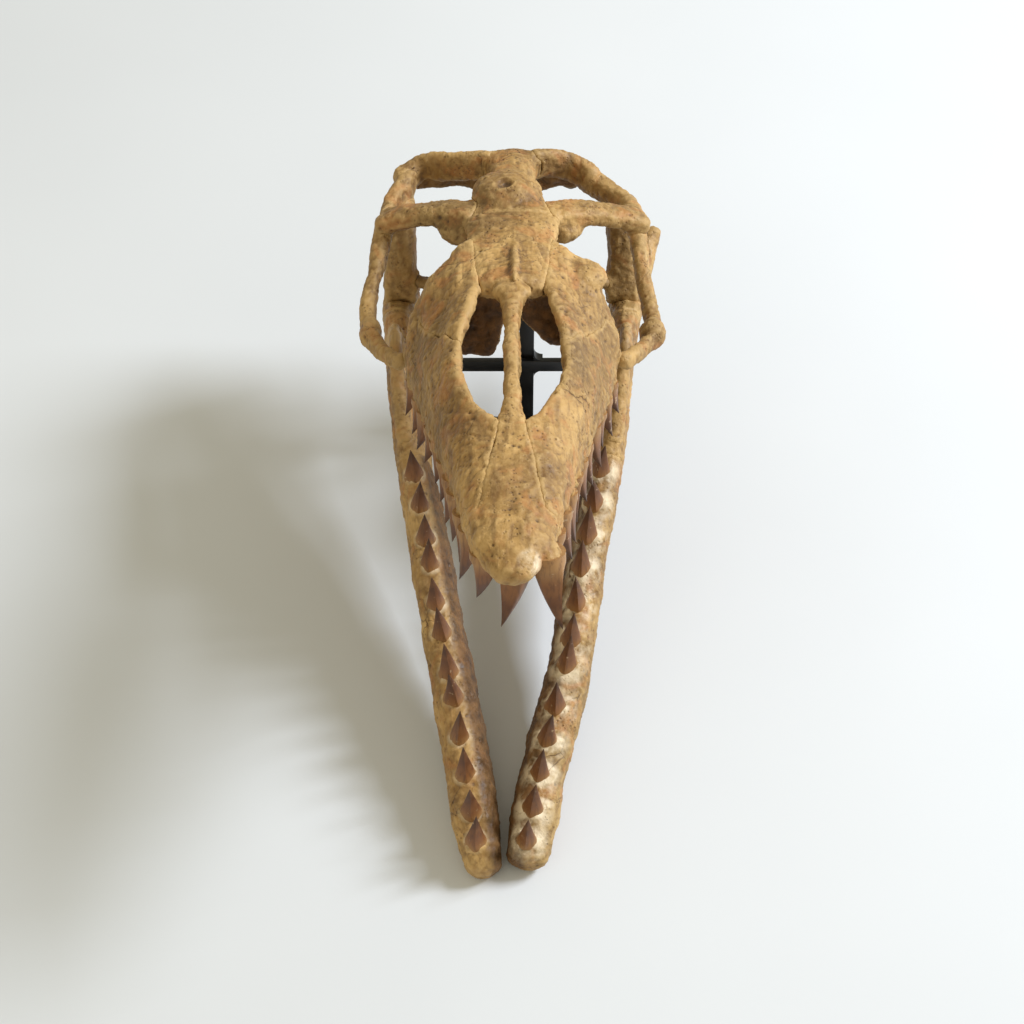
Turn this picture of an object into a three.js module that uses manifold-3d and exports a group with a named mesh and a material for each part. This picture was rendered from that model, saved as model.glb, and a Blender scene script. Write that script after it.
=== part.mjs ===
// Fossil mosasaur skull, life size, mouth open, carried on a flat-bar steel mount.
// Lengths are in millimetres, +Z is up and the snout points along -Y.
import * as THREE from 'three';
import Module from 'manifold-3d';

const wasm = await Module();
wasm.setup();

// Pose of the two jaws about the common hinge
const JAW_PITCH = THREE.MathUtils.degToRad(14);
const SKULL_PITCH = THREE.MathUtils.degToRad(20);
const TIP_HEIGHT = 20;
const HINGE = { s: 792, q: 30, v: 770, w: -20, u: 148 };
const CONDYLE = { radius: 17, length: 40, socket: 80, sides: 12 };

// Fit between neighbouring bones
const GAP = 0.3;

// Bone roundness and mesh density
const AROUND = 10;
const ROUND = 0.72;
const CAP = 0.3;
const CAP_SCALE = 0.62;
const CAP_POINT = 1.3;

// Sides of the animal: its left lies on +X
const SIDES = [
  { name: 'left', sign: 1 },
  { name: 'right', sign: -1 },
];

// Smooth curve through a short table of sizes
function table(keys, values) {
  const last = keys.length - 1;
  const slope = keys.map((key, i) => {
    const a = Math.max(i - 1, 0);
    const b = Math.min(i + 1, last);
    return (values[b] - values[a]) / (keys[b] - keys[a]);
  });
  return (x) => {
    const at = THREE.MathUtils.clamp(x, keys[0], keys[last]);
    let i = 0;
    while (i < last - 1 && at > keys[i + 1]) i += 1;
    const span = keys[i + 1] - keys[i];
    const t = (at - keys[i]) / span;
    const t2 = t * t;
    const t3 = t2 * t;
    return values[i] * (2 * t3 - 3 * t2 + 1) + values[i + 1] * (3 * t2 - 2 * t3)
      + span * (slope[i] * (t3 - 2 * t2 + t) + slope[i + 1] * (t3 - t2));
  };
}

// Upper jaw and roof: half width at the tooth line and height of the midline, back from the snout
const jawEdge = table(
  [0, 15, 40, 93, 150, 210, 300, 400, 460, 510],
  [20, 34, 44, 54, 65, 76, 94, 118, 130, 139],
);
const roofLine = table(
  [0, 30, 70, 120, 215, 320, 440, 560, 640, 720, 830],
  [20, 36, 46, 57, 76, 100, 124, 136, 143, 154, 160],
);
const SNOUT = { from: 0, to: 300, belly: -5, ribs: 9, taper: 0.3 };
const WEDGE = { keys: [-40, 64, 80, 150, 215, 300], half: [120, 120, 32, 22, 12, 12] };
const BAR = { keys: [196, 260, 340, 420, 478], half: [14, 8, 8, 9, 20], deep: 24 };

// Lower jaw: height of both edges, thickness and distance from the middle, back from the tip
const jawTop = table(
  [0, 30, 100, 250, 400, 520, 600, 660, 720, 768, 792, 830, 900],
  [12, 22, 28, 36, 44, 52, 60, 64, 56, 40, 18, 20, 18],
);
const jawFoot = table(
  [0, 30, 100, 250, 400, 520, 640, 740, 792, 860, 900],
  [-18, -28, -36, -43, -48, -52, -50, -42, -38, -30, -20],
);
const jawThick = table(
  [0, 40, 150, 300, 450, 600, 700, 792, 850, 900],
  [36, 54, 52, 50, 46, 38, 36, 46, 36, 24],
);
const ramusLine = {
  left: table(
    [0, 46, 111, 182, 254, 374, 458, 544, 640, 755, 820, 900],
    [14, 22, 35, 51, 70, 88, 104, 121, 135, 148, 164, 190],
  ),
  right: table(
    [0, 50, 140, 250, 344, 444, 544, 640, 755, 820, 900],
    [-32, -41, -55, -74, -92, -108, -127, -141, -148, -150, -154],
  ),
};
const JAW_LEAN = 8;
const JAW_TIP = { left: 15, right: 5 };
const DENTARY_END = 530;
const REAR_LAP = 30;
const RAMUS_RIBS = 11;
const JAW_END = 900;
const ANGULAR_TOP = -6;
const ARTICULAR_FROM = 752;

// Teeth: evenly spaced crowns, each a little different
const LOWER_TEETH = { count: 12, from: 28, pitch: 43.5, long: 54, thick: 12.5, root: 20 };
const UPPER_TEETH = { count: 10, from: 94, pitch: 39, long: 60, thick: 11.5, root: 20 };
const FRONT_TEETH = [
  { u: 5, v: 28, tip: [-16, -6], long: 70, thick: 12 },
  { u: 37, v: 38, tip: [17, -14], long: 74, thick: 12 },
  { u: -28, v: 42, tip: [-9, 8], long: 52, thick: 10.5 },
];
const TOOTH_SIDES = 6;
const TOOTH_RINGS = [[0.0, 1.0], [0.55, 0.72]];

// Steel mount: flat bar, base plate, cradles under the lower jaw
const STEEL = { wide: 20, thick: 8 };
const BASE = { x: 0, front: 550, back: 746, wide: 168, thick: 8 };
const POST = { x: 20, y: 735, top: 296 };
const CROSSBAR = { z: 133, left: 150, right: -152 };
const CRADLE = { wide: 24, deep: 26, high: 44 };
const HEAD = { wide: 46, deep: 30, high: 34 };

let seed = 20;
function wobble(amount) {
  seed = (seed * 16807) % 2147483647;
  return (seed / 2147483647 - 0.5) * 2 * amount;
}

// Local frames of the two jaws, both hung on the hinge
const jawAxis = new THREE.Vector3(0, Math.cos(JAW_PITCH), Math.sin(JAW_PITCH));
const jawUp = new THREE.Vector3(0, -Math.sin(JAW_PITCH), Math.cos(JAW_PITCH));
const skullAxis = new THREE.Vector3(0, Math.cos(SKULL_PITCH), -Math.sin(SKULL_PITCH));
const skullUp = new THREE.Vector3(0, Math.sin(SKULL_PITCH), Math.cos(SKULL_PITCH));
const across = new THREE.Vector3(1, 0, 0);

function jawPoint(u, s, q) {
  return new THREE.Vector3(u, 0, TIP_HEIGHT).addScaledVector(jawAxis, s).addScaledVector(jawUp, q);
}

const hingePoint = jawPoint(0, HINGE.s, HINGE.q);

function skullPoint(u, v, w) {
  return hingePoint.clone().add(new THREE.Vector3(u, 0, 0))
    .addScaledVector(skullAxis, v - HINGE.v).addScaledVector(skullUp, w - HINGE.w);
}

function worldPoint(x, y, z) {
  return new THREE.Vector3(x, y, z);
}

// Closed solid from rings of equal length, an apex at either end
function closedRings(rings, first, last) {
  const count = rings[0].length;
  const points = [first, ...rings.flat(), last];
  const faces = [];
  const at = (ring, k) => 1 + ring * count + (k % count);
  for (let k = 0; k < count; k += 1) {
    faces.push([0, at(0, k + 1), at(0, k)]);
    faces.push([points.length - 1, at(rings.length - 1, k), at(rings.length - 1, k + 1)]);
  }
  for (let ring = 0; ring < rings.length - 1; ring += 1) {
    for (let k = 0; k < count; k += 1) {
      faces.push([at(ring, k), at(ring, k + 1), at(ring + 1, k + 1)]);
      faces.push([at(ring, k), at(ring + 1, k + 1), at(ring + 1, k)]);
    }
  }
  let volume = 0;
  for (const [a, b, c] of faces) {
    volume += points[a].dot(points[b].clone().cross(points[c]));
  }
  const triVerts = new Uint32Array(faces.flatMap(([a, b, c]) => (volume > 0 ? [a, b, c] : [a, c, b])));
  const vertProperties = new Float32Array(points.flatMap((p) => [p.x, p.y, p.z]));
  return new wasm.Manifold(new wasm.Mesh({ numProp: 3, vertProperties, triVerts }));
}

// Bone strip: ribs give both edges and the thickness, the section between them is rounded
function strip(ribs, options, grow = 0) {
  const { face, steps = 3, round = ROUND, taper = 0, around = AROUND, cap = CAP } = options;
  const lows = new THREE.CatmullRomCurve3(ribs.map((rib) => rib.low), false, 'centripetal');
  const highs = new THREE.CatmullRomCurve3(ribs.map((rib) => rib.high), false, 'centripetal');
  const marks = ribs.map((rib, i) => i);
  const thick = table(marks, ribs.map((rib) => rib.thick));
  const bulge = table(marks, ribs.map((rib) => rib.bulge ?? 0));
  const span = ribs.length - 1;
  const total = span * steps;
  const stations = [];
  for (let i = 0; i <= total; i += 1) {
    const t = i / total;
    stations.push({
      low: lows.getPoint(t),
      high: highs.getPoint(t),
      thick: thick(t * span),
      bulge: bulge(t * span),
    });
  }
  const middle = stations.map((rib) => rib.low.clone().add(rib.high).multiplyScalar(0.5));
  const rings = stations.map((rib, i) => {
    const run = middle[Math.min(i + 1, total)].clone().sub(middle[Math.max(i - 1, 0)]).normalize();
    const edge = rib.high.clone().sub(rib.low);
    const half = edge.length() / 2 + grow;
    edge.normalize();
    const out = run.clone().cross(edge).normalize();
    if (out.dot(face) < 0) out.negate();
    return { centre: middle[i], run, edge, out, half, thick: rib.thick / 2 + grow, bulge: rib.bulge };
  });
  const loop = (ring, scale, shift) => {
    const points = [];
    for (let k = 0; k < around; k += 1) {
      const angle = (2 * Math.PI * (k + 0.5)) / around;
      const c = Math.cos(angle);
      const s = Math.sin(angle);
      const along = -Math.sign(c) * Math.abs(c) ** round;
      const off = Math.sign(s) * Math.abs(s) ** round;
      const narrow = 1 - taper * Math.max(off, 0);
      points.push(ring.centre.clone()
        .addScaledVector(ring.run, shift)
        .addScaledVector(ring.edge, along * ring.half * narrow * scale)
        .addScaledVector(ring.out, off * ring.thick * scale + ring.bulge * (1 - along * along)));
    }
    return points;
  };
  const head = rings[0];
  const tail = rings[total];
  const headCap = cap * Math.min(head.half, head.thick) + grow;
  const tailCap = cap * Math.min(tail.half, tail.thick) + grow;
  const loops = [
    loop(head, CAP_SCALE, -headCap),
    ...rings.map((ring) => loop(ring, 1, 0)),
    loop(tail, CAP_SCALE, tailCap),
  ];
  const apex = (ring, shift) => ring.centre.clone()
    .addScaledVector(ring.run, shift * CAP_POINT).addScaledVector(ring.out, ring.bulge);
  return closedRings(loops, apex(head, -headCap), apex(tail, tailCap));
}

// Bar along a centre path with its flat turned to a given side
function bar(path, options, grow = 0) {
  const ribs = path.map((node, i) => {
    const next = path[Math.min(i + 1, path.length - 1)];
    const last = path[Math.max(i - 1, 0)];
    const run = next.at.clone().sub(last.at).normalize();
    const edge = run.clone().cross(node.face ?? options.face).normalize();
    return {
      low: node.at.clone().addScaledVector(edge, -node.wide / 2),
      high: node.at.clone().addScaledVector(edge, node.wide / 2),
      thick: node.thick,
      bulge: node.bulge,
    };
  });
  return strip(ribs, options, grow);
}

// Straight block between two corners of a local frame
function block(place, low, high) {
  const corner = (i, j, k) => place(i ? high[0] : low[0], j ? high[1] : low[1], k ? high[2] : low[2]);
  const ring = (k) => [corner(0, 0, k), corner(1, 0, k), corner(1, 1, k), corner(0, 1, k)];
  const centre = (k) => place((low[0] + high[0]) / 2, (low[1] + high[1]) / 2, k ? high[2] : low[2]);
  return closedRings([ring(0), ring(1)], centre(0), centre(1));
}

// Round pin across the skull
function pin(centre, radius, length) {
  const ring = (x) => Array.from({ length: CONDYLE.sides }, (unused, k) => {
    const angle = (2 * Math.PI * k) / CONDYLE.sides;
    return centre.clone().add(new THREE.Vector3(x, radius * Math.cos(angle), radius * Math.sin(angle)));
  });
  const end = (x) => centre.clone().add(new THREE.Vector3(x, 0, 0));
  return closedRings([ring(-length / 2), ring(length / 2)], end(-length / 2), end(length / 2));
}

// Curved conical tooth, its root sunk in the jaw
function tooth(base, axis, bend, long, thick, root) {
  const side = axis.clone().cross(bend).normalize();
  const fore = side.clone().cross(axis).normalize();
  const ring = (along, radius, lean) => Array.from({ length: TOOTH_SIDES }, (unused, k) => {
    const angle = (2 * Math.PI * k) / TOOTH_SIDES;
    return base.clone().addScaledVector(axis, along).addScaledVector(bend, lean)
      .addScaledVector(side, radius * Math.cos(angle)).addScaledVector(fore, radius * Math.sin(angle));
  });
  const rings = [ring(-root, thick * 0.8, 0)];
  for (const [along, wide] of TOOTH_RINGS) {
    rings.push(ring(along * long, wide * thick, along * along));
  }
  const tip = base.clone().addScaledVector(axis, long).add(bend);
  return closedRings(rings, base.clone().addScaledVector(axis, -root), tip);
}

const join = (...bodies) => wasm.Manifold.union(bodies);
const cut = (body, ...tools) => tools.reduce((rest, tool) => rest.subtract(tool), body);
const largest = (body) => body.decompose().sort((a, b) => b.volume() - a.volume())[0];
const range = (from, to, count) => {
  const step = (to - from) / (count - 1);
  return Array.from({ length: count }, (unused, i) => from + step * i);
};

// Snout: one rounded body, parted by a wedge into the premaxilla and the two maxillae
function snoutBody() {
  const ribs = range(SNOUT.from, SNOUT.to, SNOUT.ribs).map((v) => {
    const middle = (roofLine(v) + SNOUT.belly) / 2;
    return {
      low: skullPoint(-jawEdge(v), v, middle),
      high: skullPoint(jawEdge(v), v, middle),
      thick: roofLine(v) - SNOUT.belly,
    };
  });
  return strip(ribs, { face: skullUp, steps: 1, taper: SNOUT.taper, around: 12, round: 0.8 });
}

const THROUGH = { floor: -80, top: 200, u: 20, v: 330 };
function wedge(grow) {
  const edge = (sign, w) => WEDGE.keys.map((v, i) => skullPoint(sign * (WEDGE.half[i] + grow), v, w));
  const ring = (w) => [...edge(1, w), ...edge(-1, w).reverse()];
  return closedRings(
    [ring(THROUGH.floor), ring(THROUGH.top)],
    skullPoint(0, THROUGH.u, THROUGH.floor),
    skullPoint(0, THROUGH.u, THROUGH.top),
  );
}

// Nostril: tapered opening beside the bar, right through the snout
const NARIS = {
  keys: [207, 222, 250, 290, 330, 385, 430, 444],
  half: [15, 24, 39, 54, 60, 56, 45, 34],
  inner: 6,
};
function naris(sign) {
  const ring = (w) => [
    ...NARIS.keys.map((v, i) => skullPoint(sign * NARIS.half[i], v, w)),
    ...[...NARIS.keys].reverse().map((v) => skullPoint(sign * NARIS.inner, v, w)),
  ];
  const middle = (w) => skullPoint(sign * THROUGH.u, THROUGH.v, w);
  return closedRings(
    [ring(THROUGH.floor), ring(THROUGH.top)],
    middle(THROUGH.floor),
    middle(THROUGH.top),
  );
}

function narialBar(grow) {
  const ribs = BAR.keys.map((v, i) => {
    const middle = roofLine(v) - BAR.deep / 2 + 1;
    return {
      low: skullPoint(-BAR.half[i], v, middle),
      high: skullPoint(BAR.half[i], v, middle),
      thick: BAR.deep,
    };
  });
  return strip(ribs, { face: skullUp, steps: 1 }, grow);
}

function frontTeeth() {
  return FRONT_TEETH.map((set) => tooth(
    skullPoint(set.u, set.v, 2),
    skullUp.clone().negate(),
    across.clone().multiplyScalar(set.tip[0]).addScaledVector(skullAxis, set.tip[1]),
    set.long,
    set.thick,
    UPPER_TEETH.root,
  ));
}

// Cheek wall: from the tooth line up to the nostril rim and the roof, parted by an oblique suture
const CHEEK = {
  low: {
    v: [196, 245, 295, 345, 395, 435, 468, 490, 502],
    w: [-5, -5, -5, -5, -5, -5, -1, 14, 30],
    inset: 9,
  },
  high: {
    v: [196, 245, 292, 340, 390, 436, 490, 545, 588],
    u: [20, 37, 54, 60, 55, 44, 37, 37, 44],
    w: [62, 75, 84, 93, 106, 116, 121, 126, 129],
  },
  thick: [26, 25, 24, 23, 22, 21, 21, 21, 20],
  bulge: [3, 4, 5, 7, 10, 13, 17, 20, 17],
};
const SUTURE = { line: [[56, 348], [92, 436], [108, 496], [150, 500]], back: 720 };
function cheek(sign, grow) {
  const ribs = CHEEK.low.v.map((v, i) => ({
    low: skullPoint(sign * (jawEdge(v) - CHEEK.low.inset), v, CHEEK.low.w[i]),
    high: skullPoint(sign * CHEEK.high.u[i], CHEEK.high.v[i], CHEEK.high.w[i]),
    thick: CHEEK.thick[i],
    bulge: CHEEK.bulge[i],
  }));
  const face = across.clone().multiplyScalar(sign).addScaledVector(skullUp, 0.8);
  return strip(ribs, { face, steps: 1 }, grow);
}

// Everything behind the suture, on the side of the roof
function behindSuture(sign, grow) {
  const { line, back } = SUTURE;
  const edge = line.map(([u, v]) => [u + grow, v - grow]);
  const outline = [[0, line[0][1] - grow], ...edge, [line.at(-1)[0] + grow, back], [0, back]];
  const ring = (w) => outline.map(([u, v]) => skullPoint(sign * u, v, w));
  const middle = (w) => skullPoint(sign * line[0][0], line.at(-1)[1], w);
  return closedRings(
    [ring(THROUGH.floor), ring(THROUGH.top)],
    middle(THROUGH.floor),
    middle(THROUGH.top),
  );
}

function upperTeeth(sign) {
  return range(0, UPPER_TEETH.count - 1, UPPER_TEETH.count).map((i) => {
    const v = UPPER_TEETH.from + i * UPPER_TEETH.pitch + wobble(5);
    const size = 1.05 - 0.035 * i + wobble(0.08);
    const bend = across.clone().multiplyScalar(sign * (11 + wobble(4)))
      .addScaledVector(skullAxis, 8 + wobble(5));
    return tooth(skullPoint(sign * (jawEdge(v) - 11), v, SNOUT.belly + 3), skullUp.clone().negate(), bend,
      UPPER_TEETH.long * size, UPPER_TEETH.thick * (1 - 0.02 * i), UPPER_TEETH.root);
  });
}

// Inner wall of the prefrontal, closing the back of the nostril
const INNER_WALL = { left: { u: 8, foot: 44, w: 46 }, right: { u: 6, foot: 20, w: 30 } };
function innerWall(side, grow) {
  const { name, sign } = side;
  const inner = INNER_WALL[name];
  return strip([
    { low: skullPoint(sign * inner.u, 470, 110), high: skullPoint(sign * 96, 498, 88), thick: 16 },
    { low: skullPoint(sign * inner.u, 468, 80), high: skullPoint(sign * 104, 492, 62), thick: 14 },
    {
      low: skullPoint(sign * inner.foot, 460, inner.w),
      high: skullPoint(sign * 98, 482, inner.w),
      thick: 10,
    },
  ], { face: skullAxis, steps: 1 }, grow);
}

// Frontal: broad roof plate with a low crest on the midline
const frontalHalf = table([470, 490, 530, 590, 626, 646], [38, 42, 46, 52, 62, 60]);
function frontal(grow) {
  const ribs = range(472, 644, 6).map((v) => ({
    low: skullPoint(-frontalHalf(v), v, roofLine(v) - 17),
    high: skullPoint(frontalHalf(v), v, roofLine(v) - 17),
    thick: 26,
    bulge: 4,
  }));
  return strip(ribs, { face: skullUp, steps: 2 }, grow);
}

// Parietal: table with the pineal swelling, spreading into the back bar
const parietalHalf = table([640, 670, 712, 760, 800, 824], [54, 46, 35, 28, 34, 40]);
function parietal(grow) {
  const ribs = range(640, 824, 6).map((v) => ({
    low: skullPoint(-parietalHalf(v), v, roofLine(v) - 20),
    high: skullPoint(parietalHalf(v), v, roofLine(v) - 20),
    thick: 36,
    bulge: 2,
  }));
  return strip(ribs, { face: skullUp, steps: 2 }, grow);
}

// Back bar on each side, out to the rear corner of the skull
const CORNER = {
  left: { u: 80, v: 833, w: 130, mid: 140 },
  right: { u: 122, v: 846, w: 124, mid: 134 },
};
function supratemporal(side, grow) {
  const end = CORNER[side.name];
  const path = [
    { at: skullPoint(side.sign * 26, 812, 141), wide: 38, thick: 22 },
    { at: skullPoint(side.sign * end.u * 0.6, 824, end.mid), wide: 40, thick: 17 },
    { at: skullPoint(side.sign * end.u, end.v, end.w), wide: 36, thick: 20 },
    { at: skullPoint(side.sign * (end.u + 26), end.v - 22, end.w - 11), wide: 32, thick: 22 },
  ];
  return bar(path, { face: skullAxis.clone().negate(), steps: 2 }, grow);
}

// Upper temporal arch behind the eye
function squamosal(side, grow) {
  const end = CORNER[side.name];
  const path = [
    { at: skullPoint(side.sign * 162, 728, 97), wide: 26, thick: 20 },
    { at: skullPoint(side.sign * (130 + end.u * 0.25), 772, 102), wide: 26, thick: 19 },
    { at: skullPoint(side.sign * (74 + end.u * 0.58), 806, 110), wide: 32, thick: 24 },
    { at: skullPoint(side.sign * (24 + end.u * 0.9), end.v - 8, 117), wide: 34, thick: 24 },
  ];
  return bar(path, { face: across.clone().multiplyScalar(side.sign), steps: 2 }, grow);
}

// Bar across the back of the eye socket
function postorbital(sign, grow) {
  const path = [
    { at: skullPoint(sign * 44, 668, 128), wide: 52, thick: 24 },
    { at: skullPoint(sign * 84, 688, 124), wide: 46, thick: 24 },
    { at: skullPoint(sign * 126, 706, 113), wide: 50, thick: 24 },
    { at: skullPoint(sign * 164, 722, 98), wide: 58, thick: 26 },
  ];
  return bar(path, { face: skullUp, steps: 2 }, grow);
}

// Cheek bone: down from the back of the eye, round the elbow and forward to the maxilla
const JUGAL_PINCH = { left: [4, 9, 8, 0, 0, 0], right: [0, 2, 0, 0, 0, 0] };
function jugal(side, grow) {
  const pinch = JUGAL_PINCH[side.name];
  const path = [
    { u: 166, v: 716, w: 88, wide: 32, thick: 22 },
    { u: 175, v: 674, w: 58, wide: 26, thick: 19 },
    { u: 182, v: 622, w: 22, wide: 26, thick: 18 },
    { u: 180, v: 584, w: 5, wide: 30, thick: 20 },
    { u: 162, v: 536, w: 3, wide: 22, thick: 16 },
    { u: 136, v: 488, w: 8, wide: 18, thick: 14 },
  ].map((node, i) => ({ ...node, at: skullPoint(side.sign * (node.u - pinch[i]), node.v, node.w) }));
  return bar(path, { face: across.clone().multiplyScalar(side.sign), steps: 2, around: 8 }, grow);
}

// Quadrate: stout hoop-backed pillar ending in the jaw condyle
function quadrate(sign, grow) {
  const shaft = bar([
    { at: skullPoint(sign * 148, 804, 94), wide: 54, thick: 34 },
    { at: skullPoint(sign * 148, 800, 64), wide: 62, thick: 40 },
    { at: skullPoint(sign * HINGE.u, 786, 24), wide: 50, thick: 38 },
    { at: skullPoint(sign * HINGE.u, HINGE.v, HINGE.w + 3), wide: 32, thick: 48 },
  ], { face: across.clone().multiplyScalar(sign), steps: 2 }, grow);
  const hook = bar([
    { at: skullPoint(sign * 146, 826, 90), wide: 26, thick: 24 },
    { at: skullPoint(sign * 144, 842, 62), wide: 24, thick: 20 },
    { at: skullPoint(sign * 144, 832, 34), wide: 18, thick: 15 },
  ], { face: across.clone().multiplyScalar(sign), steps: 1, around: 8 }, grow);
  const axle = skullPoint(sign * HINGE.u, HINGE.v, HINGE.w);
  const condyle = pin(axle, CONDYLE.radius + grow, CONDYLE.length + 2 * grow);
  return join(shaft, hook, condyle);
}

// Pterygoid: from the inside of the maxilla back to the quadrate
function pterygoid(sign, grow) {
  const path = [
    { at: skullPoint(sign * 116, 486, 20), wide: 26, thick: 12 },
    { at: skullPoint(sign * 86, 556, 14), wide: 26, thick: 14 },
    { at: skullPoint(sign * 64, 634, 12), wide: 24, thick: 16 },
    { at: skullPoint(sign * 64, 706, 2), wide: 22, thick: 16 },
    { at: skullPoint(sign * 98, 752, -6), wide: 24, thick: 12 },
    { at: skullPoint(sign * 142, 776, -4), wide: 22, thick: 10 },
  ];
  return bar(path, { face: skullUp, steps: 1, around: 8 }, grow);
}

// Braincase: keel under the parietal, wings to the back bar and the neck condyle
function braincase(grow) {
  const half = [16, 24, 28, 30, 30];
  const deep = [40, 56, 70, 72, 60];
  const body = strip([640, 690, 740, 790, 836].map((v, i) => ({
    low: skullPoint(-half[i], v, 124 - deep[i] / 2),
    high: skullPoint(half[i], v, 124 - deep[i] / 2),
    thick: deep[i],
  })), { face: skullUp, steps: 1 }, grow);
  const wings = SIDES.map((side) => bar([
    { at: skullPoint(side.sign * 10, 826, 108), wide: 36, thick: 20 },
    { at: skullPoint(side.sign * 66, 846, 116), wide: 30, thick: 16 },
    { at: skullPoint(side.sign * (CORNER[side.name].u + 8), 848, 106), wide: 28, thick: 14 },
  ], { face: skullAxis, steps: 1, around: 8 }, grow));
  const feet = SIDES.map((side) => bar([
    { at: skullPoint(side.sign * 12, 716, 66), wide: 30, thick: 24 },
    { at: skullPoint(side.sign * 40, 706, 34), wide: 24, thick: 18 },
    { at: skullPoint(side.sign * 62, 700, 8), wide: 24, thick: 18 },
  ], { face: skullAxis, steps: 1, around: 8 }, grow));
  const neck = strip([836, 852, 862].map((v, i) => ({
    low: skullPoint(-22 + 3 * i, v, 78),
    high: skullPoint(22 - 3 * i, v, 78),
    thick: 36 - 4 * i,
  })), { face: skullUp, steps: 1 }, grow);
  return join(body, ...wings, ...feet, neck);
}

// Lower jaw ramus between two stations
function ramus(side, from, to, count, grow) {
  const line = ramusLine[side.name];
  const ribs = range(from, to, count).map((s) => ({
    low: jawPoint(line(s) - side.sign * JAW_LEAN, s, jawFoot(s)),
    high: jawPoint(line(s) + side.sign * JAW_LEAN, s, jawTop(s)),
    thick: jawThick(s),
  }));
  const face = across.clone().multiplyScalar(side.sign);
  return strip(ribs, { face, steps: 1, around: 12, round: 0.8 }, grow);
}

function dentary(side, grow) {
  return ramus(side, JAW_TIP[side.name], DENTARY_END, RAMUS_RIBS, grow);
}

function rearJaw(side, grow) {
  return ramus(side, DENTARY_END - REAR_LAP, JAW_END, RAMUS_RIBS, grow);
}

function lowerTeeth(side) {
  const line = ramusLine[side.name];
  return range(0, LOWER_TEETH.count - 1, LOWER_TEETH.count).map((i) => {
    const s = LOWER_TEETH.from + i * LOWER_TEETH.pitch + wobble(6);
    const share = (i + 2) / (LOWER_TEETH.count + 2);
    const size = 0.85 + 0.25 * Math.sin(Math.PI * share) + wobble(0.1);
    const bend = across.clone().multiplyScalar(side.sign * (2 + wobble(4)))
      .addScaledVector(jawAxis, 12 + wobble(4));
    return tooth(jawPoint(line(s) + side.sign * (JAW_LEAN - 1), s, jawTop(s) - 4), jawUp, bend,
      LOWER_TEETH.long * size, LOWER_TEETH.thick * (0.9 + wobble(0.08)), LOWER_TEETH.root);
  });
}

function coronoid(side, grow) {
  const line = ramusLine[side.name];
  const path = [
    { s: 548, lift: -4, wide: 16, thick: 20 },
    { s: 604, lift: 10, wide: 34, thick: 18 },
    { s: 652, lift: 18, wide: 56, thick: 15 },
    { s: 690, lift: 10, wide: 44, thick: 13 },
    { s: 718, lift: -6, wide: 20, thick: 12 },
  ].map((node) => ({
    at: jawPoint(line(node.s) + side.sign * JAW_LEAN, node.s, jawTop(node.s) + node.lift),
    wide: node.wide,
    thick: node.thick,
  }));
  return bar(path, { face: across.clone().multiplyScalar(side.sign), steps: 2, around: 8 }, grow);
}

// Parts as they stand: each bone is fitted round the ones before it
const solids = new Map();
const fit = (name, body, ...neighbours) => solids.set(name, largest(cut(body, ...neighbours)));
const FAR = 600;
const floorCut = block(worldPoint, [-FAR, -FAR, -FAR], [FAR, 2 * FAR, 0]);

const snout = snoutBody();
const frontalGap = frontal(GAP);
const parietalGap = parietal(GAP);
const braincaseGap = braincase(GAP);
const wedgeGap = wedge(GAP);
const barGap = narialBar(GAP);
const tipBlock = cut(snout.intersect(wedge(0)), naris(1), naris(-1));
fit('premaxilla', join(tipBlock, narialBar(0), ...frontTeeth()), frontalGap);
fit('frontal', frontal(0));
fit('parietal', parietal(0), frontalGap);
fit('braincase', braincase(0), frontalGap, parietalGap);

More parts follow.
